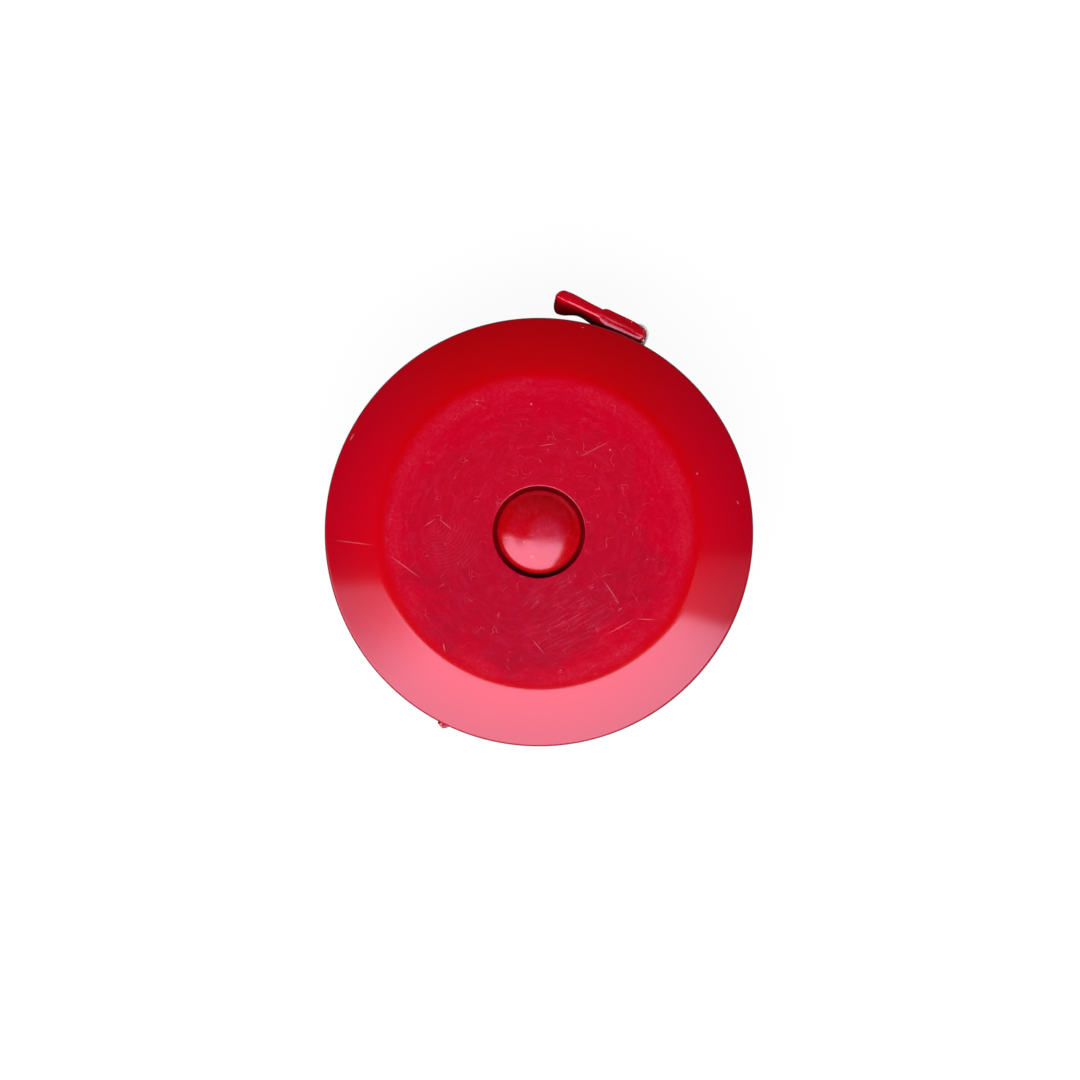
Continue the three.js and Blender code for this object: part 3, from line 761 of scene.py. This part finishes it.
# Button spring: drawn steel wire, 0.35 mm thick, with a closed turn at each end.
# It stands on the post's shoulder and lifts the brake cone and the button.
wire = 0.35
wire_sides = 12
wire_pitch = wire * 1.02
coil_mean = post_radius - wire
cone_seat = 10.948
seat_gap = 0.1
spring_low = post_shoulder + seat_gap + wire / 2
spring_high = cone_seat - seat_gap - wire / 2
closed_turns = 0.75
open_turns = 2.0
wire_turns = 2 * closed_turns + open_turns
closed_rise = wire_pitch * closed_turns
wire_marks = (0, closed_turns, closed_turns + open_turns, wire_turns)
wire_heights = (spring_low, spring_low + closed_rise, spring_high - closed_rise, spring_high)
wire_steps = round(wire_turns * 40)
wire_rings = []
for k in range(wire_steps + 1):
    turn = wire_turns * k / wire_steps
    height = np.interp(turn, wire_marks, wire_heights)
    ring = []
    for side in range(wire_sides):
        angle = 2 * pi * side / wire_sides
        out = polar(coil_mean + wire / 2 * cos(angle), 360 * turn)
        ring.append((*out, height + wire / 2 * sin(angle)))
    wire_rings.append(ring)
button_spring = skinned("button_coil_spring", wire_rings)
smooth(button_spring, 50)
dress(button_spring, steel("drawn_spring_wire"), "spring_steel", "case", "button_spring")
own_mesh(button_spring)

# Push button: a domed cap on the brake cone, with a flange that keeps it in the case.
# Moulded in the case's crimson ABS. Thumbs have rubbed the middle of its dome a little matt, and the pink
# tone of that patch is partly painted sheen.
button_radius = 4.95
button_top = 16.05
dome_height = 1.75
dome_radius = (button_radius**2 + dome_height**2) / (2 * dome_height)
dome_middle = button_top - dome_radius
dome_steps = 14
dome_edge = 4.82
cap_wall = 1.05
hub_radius = 3.578
hub_top = 14.1
flange_radius = 6.4
flange_bottom = 11.998
flange_top = 13.1
flange_edge = 0.2
cap_edge = 0.26
dome = []
for k in range(dome_steps + 1):
    radius = dome_edge * (dome_steps - k) / dome_steps
    dome.append((radius, dome_middle + sqrt(dome_radius**2 - radius**2)))
push_button = lathe("button_cap", rounded([
    (hub_radius, flange_bottom),
    (flange_radius, flange_bottom, flange_edge),
    (flange_radius, flange_top, flange_edge),
    (button_radius, flange_top),
    (button_radius, button_top - dome_height, cap_edge),
    *dome,
    (0, button_top - cap_wall),
    (hub_radius, hub_top),
], step=6), 160)
smooth(push_button)
# The rubbed patch's pink tone is partly painted sheen of the window.
button_haze_and_painted_sheen = {
    "place": (0.9, -0.5), "radius": 1.9, "edge": 1.3,
    "rough": 0.15, "upper": "#c81c3a", "lower": "#c81c3a",
}
button_red = crimson("moulded_abs_crimson_rubbed_painted_sheen", 8.0, button_haze_and_painted_sheen, ("#c60008", "#c60008", "#c60008"), [
    (-3.9, -0.7, 0.24, 0.22, 0),
    (-1.75, -1.2, 0.26, 0.22, 0),
    (-0.8, -2.9, 0.5, 0.34, 10),
    (1.3, 1.3, 0.14, 0.14, 0),
])
dress(push_button, button_red, "button_red", "button", "push_button")


# Upper case: the front shell, with the button's hole, a thrust ring over the reel and four pins.
# Crimson ABS like the back. Its flat face is scuffed, and paler where it turns into the bevel.
corner_radius = 18.83
corner_height = case_thickness - bevel_drop + (case_radius - corner_radius) * bevel_slope
corner_fillet = 5.5
face_crown = 0.06


def crown(radius):
    """The height of the flat face, which stands up very slightly towards its middle."""
    return corner_height + face_crown * (1 - (radius / corner_radius) ** 2)


hole_radius = 5.45
hole_round = 0.12
ceiling = case_thickness - case_wall
rebate_radius = inner_radius + tongue + joint_gap
rebate_top = parting + tongue_height + joint_gap
rim_height = case_thickness - bevel_drop
bevel_crown = 0.02
bevel_steps = 7
bevel = []
for k in range(2, bevel_steps):
    share = k / bevel_steps
    radius = corner_radius + (case_radius - corner_radius) * share
    height = corner_height + (rim_height - corner_height) * share
    bevel.append((radius, height + bevel_crown * 4 * share * (1 - share)))
upper_case = lathe("front_shell", rounded([
    (hole_radius, ceiling),
    (hole_radius, crown(hole_radius), hole_round),
    *[(radius, crown(radius)) for radius in (6.2, *range(7, 18))],
    (corner_radius, corner_height, corner_fillet),
    *bevel,
    (case_radius, rim_height, rim_fillet),
    (case_radius, parting + parting_chamfer),
    (case_radius - parting_chamfer, parting),
    (rebate_radius, parting),
    (rebate_radius, rebate_top),
    (inner_radius, rebate_top),
    (inner_radius, ceiling - inner_drop),
    (inner_face_radius, ceiling, inner_fillet),
], step=2))
thrust_radius = 8.1
thrust_width = 0.8
thrust_bottom = 12.55
column_top = case_thickness - pin_root
thrust_outer = thrust_radius + thrust_width
joined = [lathe("thrust", [
    Vector((thrust_radius, thrust_bottom)),
    Vector((thrust_outer, thrust_bottom)),
    Vector((thrust_outer, ceiling + skin)),
    Vector((thrust_radius, ceiling + skin)),
], 128)]
rib_span = thrust_radius + thrust_width / 2, rib_end
for angle in rib_angles:
    joined.append(bar("rib", *rib_span, rib_width, ceiling - rib_height, ceiling + skin, angle))
for place in pin_places:
    joined.append(cylinder("column", place, pin_column_radius, rebate_top, column_top))
    joined.append(cylinder("pin", place, pin_radius, parting - pin_depth, column_top))


gate_angle = 243.6
gate_height = 12.02
gate_sunk = 0.12
gate_size = (0.62, 0.66, 0.34)


def torn_gate():
    """What is left of the moulding gate on the rim: a small torn lump."""
    bm = bmesh.new()
    bmesh.ops.create_icosphere(bm, subdivisions=4, radius=1)
    middle = Vector((*polar(case_radius - gate_sunk, gate_angle), gate_height))
    turn = Matrix.Rotation(radians(gate_angle), 3, "Z")
    for vertex in bm.verts:
        d = vertex.co.copy()
        ragged = 1 + 0.14 * sin(7 * d.y + 1.3) * cos(6 * d.z) + 0.1 * sin(13 * d.y - 5 * d.z)
        lump = Vector([size * part * ragged for size, part in zip(gate_size, d)])
        vertex.co = middle + turn @ lump
    return mesh_piece("gate", bm)


joined.append(torn_gate())
combine(upper_case, joined, "UNION")
combine(upper_case, [tape_slot()], "DIFFERENCE")
smooth(upper_case)
dress(upper_case, case_red, "case_red", "case", "upper_case")

# Tape run: the stretch from the coil through the slot to the tab.
# The same tape, printed in centimetres on its outer face and in inches on its inner one.
run_length = 17.44838


def laid(length, offset, height):
    """A point on the tape's line, a length on from the coil."""
    place = along * length + across * (tape_line + offset)
    return Vector((place.x, place.y, height))


run_steps = 48
run_edge = 0.09
run_path = [along * (run_length * k / run_steps) + across * tape_line for k in range(run_steps + 1)]
tape_run = ribbon("tape_stretch", run_path, oblong(layer, tape_low, tape_high, run_edge))
smooth(tape_run, 50)
tape_run.data.materials.append(white_tape)
run_start, run_end = laid(0, 0, parting) * MM, laid(run_length, 0, parting) * MM
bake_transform(tape_run)
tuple(run_start)
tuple(run_end)
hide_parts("tape_run")

# Printing on the tape: ticks and numbers in black and red ink, 0.01 mm proud of each face.
# At rest they lie packed in the case.
def ink(name, colour):
    """Screen ink on vinyl: dense and dull, a little thin in places."""
    material, add = blank(name)
    mm = millimetres(add)
    thin = add("TexNoise", mm, Scale=3.0, Detail=4.0)
    thin = add("MapRange", thin, 0.5, 0.8, 0.0, 0.3)
    shade = add("Mix.RGBA", thin, colour, "#8b8882")
    shader = add("BsdfPrincipled", shade, Roughness=0.5)
    add("OutputMaterial", shader)
    return material


# The scale starts at the tab's outer end, this far past the fold when the tab is in line.
scale_zero = 10.8
ink_lift = layer / 2 + 0.012
tick_start = 0.05
ticks = {"whole": (2.6, 0.24), "half": (1.9, 0.17), "part": (1.3, 0.17)}  # how long and how wide
number_size = 3.1
tens_size = 3.6
samples = np.linspace(0, 1, 4001)
drawn_out = run_length * samples + tape_length * samples**2 * (3 - 2 * samples)


def at_rest(reading):
    """How far along the run, at rest, the point lies that measures so many millimetres when pulled out."""
    return np.interp(run_length + tape_length + scale_zero - reading, drawn_out, run_length * samples)


def numeral(text, size):
    """Vertices and faces of a number in the plain built-in face, centred, in millimetres."""
    curve = bpy.data.curves.new("numeral", "FONT")
    curve.body = text
    curve.size = size
    curve.align_x = "CENTER"
    curve.align_y = "CENTER"
    curve.resolution_u = 3
    holder = bpy.data.objects.new("numeral", curve)
    scene.collection.objects.link(holder)
    bpy.context.view_layer.update()
    mesh = bpy.data.meshes.new_from_object(holder)
    shape = [v.co.copy() for v in mesh.vertices], [list(p.vertices) for p in mesh.polygons]
    bpy.data.objects.remove(holder)
    bpy.data.meshes.remove(mesh)
    return shape


def print_face(name, unit, parts_of_unit, count, side):
    """The scale on one face of the tape. side is 1 for the outer face and -1 for the inner one."""
    points, faces, inks = [], [], []

    def stamp(shape, colour):
        first = len(points)
        for reading, height in shape[0]:
            points.append(laid(at_rest(reading), side * ink_lift, parting + side * height))
        faces.extend([[first + i for i in face] for face in shape[1]])
        inks.extend([colour] * len(shape[1]))

    low, high = -tape_width / 2, tape_width / 2
    step = unit / parts_of_unit
    for k in range(1, round(count * parts_of_unit) + 1):
        reading = k * step
        if reading < scale_zero + 2:
            continue
        rank = "part"
        if k % (parts_of_unit // 2) == 0:
            rank = "whole" if k % parts_of_unit == 0 else "half"
        reach, wide = ticks[rank]
        left, right = reading - wide / 2, reading + wide / 2
        for edge, inward in ((low, 1), (high, -1)):
            near, far = edge + inward * tick_start, edge + inward * reach
            stamp(([(left, near), (right, near), (right, far), (left, far)], [[0, 1, 2, 3]]), 0)
    for number in range(2 if unit < 20 else 1, count + 1):
        red = number % 10 == 0
        corners, polygons = numeral(str(number), tens_size if red else number_size)
        stamp(([(number * unit + corner.x, corner.y) for corner in corners], polygons), 1 if red else 0)
    mesh = bpy.data.meshes.new(name)
    mesh.from_pydata([p * MM for p in points], [], faces)
    piece = bpy.data.objects.new(name, mesh)
    scene.collection.objects.link(piece)
    mesh.materials.append(black_ink)
    mesh.materials.append(red_ink)
    mesh.polygons.foreach_set("material_index", inks)
    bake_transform(piece)
    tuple(run_start)
    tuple(run_end)


black_ink = ink("screen_ink_black", "#1c1b1a")
red_ink = ink("screen_ink_red", "#b3121f")
print_face("centimetre_print", 10.0, 10, 150, 1)
print_face("inch_print", 25.4, 8, 59, -1)


# Pull tab: a flat crimson grip on the tape's end, with a raised foot that keeps it off the rim.
# Moulded ABS again, rubbed along its length, with soft edges that catch the window, and painted highlights
# and painted shade in its colour.
tab_angle = 154.7
hinge = Vector((11.843227873, 23.650379564))
tab_turn = Matrix.Translation((*(hinge * MM), parting * MM))
for angle, axis in ((radians(tab_angle), "Z"), (pi, "X")):
    tab_turn = tab_turn @ Matrix.Rotation(angle, 4, axis)
nose_radius = 0.757
side_wall = 0.7
channel_half = tape_width / 2 + 0.2
tab_half = channel_half + side_wall
fold_radius = 1.15
shoulder_radius = 0.5
glue = 0.05
pocket_line = nose_radius - glue - tape_thickness / 2
pocket_end = 4.5
fold_drop = acos(1 - (fold_radius - pocket_line) / (fold_radius + shoulder_radius))
plate_start = (fold_radius + shoulder_radius) * sin(fold_drop) + glue
plate_end = 5.07


def fold_path(from_angle, end, steps=28):
    """The tape's way round the nose, over the tab's shoulder and into its pocket."""
    drop = degrees(fold_drop)
    nose = [polar(fold_radius, from_angle + (90 - drop - from_angle) * k / steps) for k in range(steps + 1)]
    middle = polar(fold_radius + shoulder_radius, 90 - drop)
    shoulder = [middle + polar(shoulder_radius, 270 - drop + drop * k / 8) for k in range(1, 9)]
    return [*nose, *shoulder, Vector((end, pocket_line))]


# The tab's form at places along it. Across it, its outline runs from the back over a brow and a ridge,
# which catch the light, down a steep slope to the underside. Each is a height, then how far it is
# drawn in from the tab's side, and how round it is.
wall_radius = 0.92
wall_low = -0.78
end_start = 9.87
end_middle = -0.06
upper_round = 0.6
lower_round = 0.15
nose_closing = 0.5
tip_closing = 0.35
step_top = plate_start - 0.03
step_foot = plate_start - 0.01
tab_stations = np.array([
    # place, back, inset, roundness, upper brow, lower brow, inset, ridge, inset, roundness,
    # underside, inset, roundness
    (0.0, 0.95, 0.42, 0.25, 0.3, -0.3, 0.05, -0.64, 0.13, 0.1, wall_low, 0.35, 0.15),
    (0.5, 1.12, 0.47, 0.14, 0.26, -0.35, 0.055, -0.71, 0.145, 0.08, wall_low - 0.02, 0.3, 0.1),
    (step_top, 1.19, 0.5, 0.14, 0.25, -0.36, 0.055, -0.72, 0.145, 0.06, wall_low - 0.04, 0.28, 0.08),
    (step_foot, 0.8, 0.33, 0.01, 0.25, -0.36, 0.055, -0.72, 0.145, 0.06, wall_low - 0.04, 0.28, 0.08),
    (4.3, 0.8, 0.33, 0.01, 0.25, -0.36, 0.055, -0.72, 0.145, 0.06, wall_low - 0.04, 0.28, 0.08),
    (4.8, 0.8, 0.3, 0.05, 0.22, -0.2, 0.03, -0.45, 0.09, 0.1, wall_low, 0.6, 0.2),
    (5.15, 0.88, 0.24, 0.2, 0.2, 0.0, 0.01, -0.23, 0.065, 0.08, wall_low, 0.9, 0.2),
    (5.6, 0.91, 0.26, 0.3, 0.2, 0.0, 0.01, -0.23, 0.06, 0.08, -0.76, 1.8, 0.3),
    (6.1, 0.92, 0.26, 0.3, 0.2, 0.0, 0.01, -0.23, 0.06, 0.08, -0.7, 2.0, 0.35),
    (6.5, 0.93, 0.26, 0.3, 0.2, 0.0, 0.01, -0.23, 0.06, 0.08, -0.64, 2.1, 0.35),
    (6.9, 0.95, 0.26, 0.3, 0.2, 0.0, 0.01, -0.23, 0.06, 0.08, -0.58, 2.2, 0.35),
    (7.4, 0.98, 0.26, 0.3, 0.2, 0.01, 0.01, -0.22, 0.06, 0.08, -0.56, 2.3, 0.35),
    (7.8, 1.0, 0.26, 0.3, 0.2, 0.01, 0.01, -0.21, 0.06, 0.08, -0.65, 2.6, 0.35),
    (8.2, 1.03, 0.26, 0.3, 0.2, 0.0, 0.01, -0.19, 0.06, 0.08, -0.84, 3.0, 0.35),
    (8.6, 1.05, 0.26, 0.3, 0.2, 0.0, 0.01, -0.19, 0.06, 0.08, -1.08, 3.6, 0.35),
    (9.0, 1.06, 0.26, 0.3, 0.2, 0.0, 0.01, -0.19, 0.055, 0.08, -1.36, 4.15, 0.3),
    (9.4, 1.05, 0.26, 0.3, 0.2, 0.0, 0.01, -0.18, 0.025, 0.1, -1.5, 4.25, 0.3),
    (end_start, 1.01, 0.26, 0.3, 0.2, 0.02, 0.0, -0.16, 0.0, 0.2, -1.57, 4.25, 0.3),
])
tab_tip = end_start + 1.0


def tab_section(x):
    """The tab's outline across itself, a place along it."""
    (back, back_in, back_round, upper, lower, lower_in, ridge, ridge_in, ridge_round,
     under, under_in, under_round) = [
        np.interp(x, tab_stations[:, 0], column) for column in tab_stations[:, 1:].T
    ]
    side = [
        (tab_half - back_in, back, back_round), (tab_half, upper, upper_round),
        (tab_half - lower_in, lower, lower_round), (tab_half - ridge_in, ridge, ridge_round),
        (tab_half - under_in, under, under_round),
    ]
    outline = rounded(side + [(-z, y, fillet) for z, y, fillet in side[::-1]], count=4)
    # Both ends close like the end of an egg.
    past = max(0, -x / wall_radius, (x - end_start) / (tab_tip - end_start))
    closing = sqrt(1 - past**2)
    middle = end_middle if x > end_start else 0
    narrow = 1 - (1 - closing) * (tip_closing if x > end_start else nose_closing) / tab_half
    return [(x, middle + (y - middle) * closing, z * narrow) for z, y in outline]


places = [-wall_radius * cos(radians(4 + 86 * k / 14)) for k in range(14)]
places += [0, 0.25, 0.5, 0.8, step_top, step_foot, 2, 3, 4]
places += [4.6 + (end_start - 4.6) * k / 42 for k in range(42)]
places += [end_start + sin(radians(86 * k / 16)) for k in range(17)]
pull_tab = skinned("grip_tab", [tab_section(x) for x in places])
fold = fold_path(90, pocket_end + glue)
channel_floor = [polar(nose_radius, 265 - 175 * k / 20) for k in range(21)]
for i, point in enumerate(fold):
    way = (fold[min(i + 1, len(fold) - 1)] - fold[max(i - 1, 0)]).normalized()
    point = point + Vector((way.y, -way.x)) * (tape_thickness / 2 + glue)
    if point.y < nose_radius:
        channel_floor.append(point)
open_side = [(channel_floor[-1].x, 2), (-2, 2), (-2, -2), (channel_floor[0].x, -2)]
channel = prism("channel", [*channel_floor, *map(Vector, open_side)], -channel_half, channel_half)
combine(pull_tab, [channel], "DIFFERENCE")
pull_tab.data.transform(tab_turn)
smooth(pull_tab)


def rubbed_tab():
    """The case's crimson ABS, streaked along the sleeve, with painted sheen on the streaks, two painted
    highlights and painted shade on the foot's flank.
    """
    material, add = blank("moulded_abs_crimson_handled_painted_light")
    mm = millimetres(add)
    own = add("Mapping.TEXTURE", mm, (*hinge, parting), (pi, 0, radians(tab_angle)))
    lengthwise = add("Mapping", own, Scale=(0.45, 7, 7))
    streaks = add("TexNoise", lengthwise, Scale=1.0, Detail=4.0, Roughness=0.7)
    streaks = add("MapRange", streaks, 0.5, 0.66)
    parts = add("SeparateXYZ", own)
    # The sleeve's lower half is scratched where it meets the rim; the scratches' pale pink is partly
    # painted sheen of the window.
    sleeve = add("MapRange.SMOOTHSTEP", parts.outputs[0], 5.6, 5.0)
    lower = add("MapRange.SMOOTHSTEP", parts.outputs[1], 0.3, 0.05)
    above_edge = add("MapRange", parts.outputs[1], -0.42, -0.32)
    sleeve = add("Math.MULTIPLY", sleeve, lower)
    sleeve = add("Math.MULTIPLY", sleeve, above_edge)
    worn = add("Math.MULTIPLY", streaks, sleeve)
    cloud = add("TexNoise", mm, Scale=0.9, Detail=4.0)
    colour = add("Mix.RGBA", cloud, "#ca0016", "#d4001c")
    tint = add("Math.MULTIPLY", worn, 0.42)
    # Painted shade on the foot's flank beside the rim, where the rim keeps the light off.
    below_ridge = add("MapRange", parts.outputs[1], -0.12, -0.4)
    side_on = add("Math.ABSOLUTE", parts.outputs[2])
    deep = add("MapRange", side_on, tab_half - 0.1, tab_half - 2.0, 0.2, 0.6)
    painted_shade = add("Math.MULTIPLY", below_ridge, deep)
    grip = add("MapRange", parts.outputs[0], 7.4, 9.0)
    painted_shade = add("Math.MULTIPLY", painted_shade, grip)
    colour = add("Mix.RGBA", painted_shade, colour, "#4c000c")
    # Painted highlights: two small pale spots on the end's corner and on the foot's rounded corner.
    spots = nicks(add, own, [(10.06, 0.36, 0.22, 0.16, 0), (9.49, -0.66, 0.32, 0.14, 60)])
    tint = add("Math.MAXIMUM", tint, spots)
    # Pale pink: the sleeve's scratches, partly painted sheen, and the two painted highlights.
    colour = add("Mix.RGBA", tint, colour, "#f08094")
    rough = add("MapRange", cloud, 0, 1, 0.1, 0.18)
    rough = add("Math.MULTIPLY_ADD", worn, 0.06, rough)
    height = add("Math.MULTIPLY", worn, -1.0)
    bump = add("Bump", Height=height, Strength=0.3, Distance=0.03 * MM)
    shader = add("BsdfPrincipled", colour, Roughness=rough, Normal=bump, **gloss)
    add("OutputMaterial", shader)
    return material


tab_red = rubbed_tab()
dress(pull_tab, tab_red, "tab_red", "tab", "pull_tab")

# Tab plate: a thin strip welded over the channel, which clamps the tape's end in the tab.
# The same ABS, with its far edge showing as a small step on the tab's back.
plate_low = nose_radius + glue
plate_high = 1.19
plate_slope = 0.6
plate_half = tab_half - 0.33
plate_lean = 0.45
tab_plate = skinned("clamp_plate", [
    [(x, y, z) for z, y in rounded([
        (plate_half, plate_low), (-plate_half, plate_low),
        (-plate_half + (high - plate_low) * plate_lean, high, edge),
        (plate_half - (high - plate_low) * plate_lean, high, edge),
    ], count=4)]
    for x, high, edge in (
        (plate_start, plate_high - 0.06, 0.1),
        (plate_start + 0.08, plate_high, 0.14),
        (plate_end - plate_slope, plate_high, 0.14),
        (plate_end - plate_slope * 0.6, plate_high - 0.06, 0.12),
        (plate_end - plate_slope * 0.2, plate_high - 0.2, 0.06),
        (plate_end, plate_low + 0.04, 0.02),
    )
])
tab_plate.data.transform(tab_turn)
smooth(tab_plate)
dress(tab_plate, tab_red, "tab_red", "tab", "tab_plate")

# Tape fold: the tape's end, turned back round the tab's nose and clamped under the plate.
nose_steps = 28
section = oblong(layer, -tape_width / 2, tape_width / 2, run_edge)
tape_fold = ribbon("tape_end", fold_path(tab_angle - heading + 90, pocket_end, nose_steps), section)
tape_fold.data.transform(tab_turn)
smooth(tape_fold, 50)
# Its points are laid out on a line for a moment, spaced so that each part of the turn round the nose takes
# an even share, and then put back.
true_places = [vertex.co.copy() for vertex in tape_fold.data.vertices]
for vertex in tape_fold.data.vertices:
    share = min(1, vertex.index // len(section) / nose_steps)
    vertex.co = ((0.5 - sin(asin(1 - 2 * share) / 3)) * MM, 0, 0)
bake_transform(tape_fold)
for vertex, place in zip(tape_fold.data.vertices, true_places):
    vertex.co = place
tape_fold.data.materials.append(white_tape)
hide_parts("tape_fold")
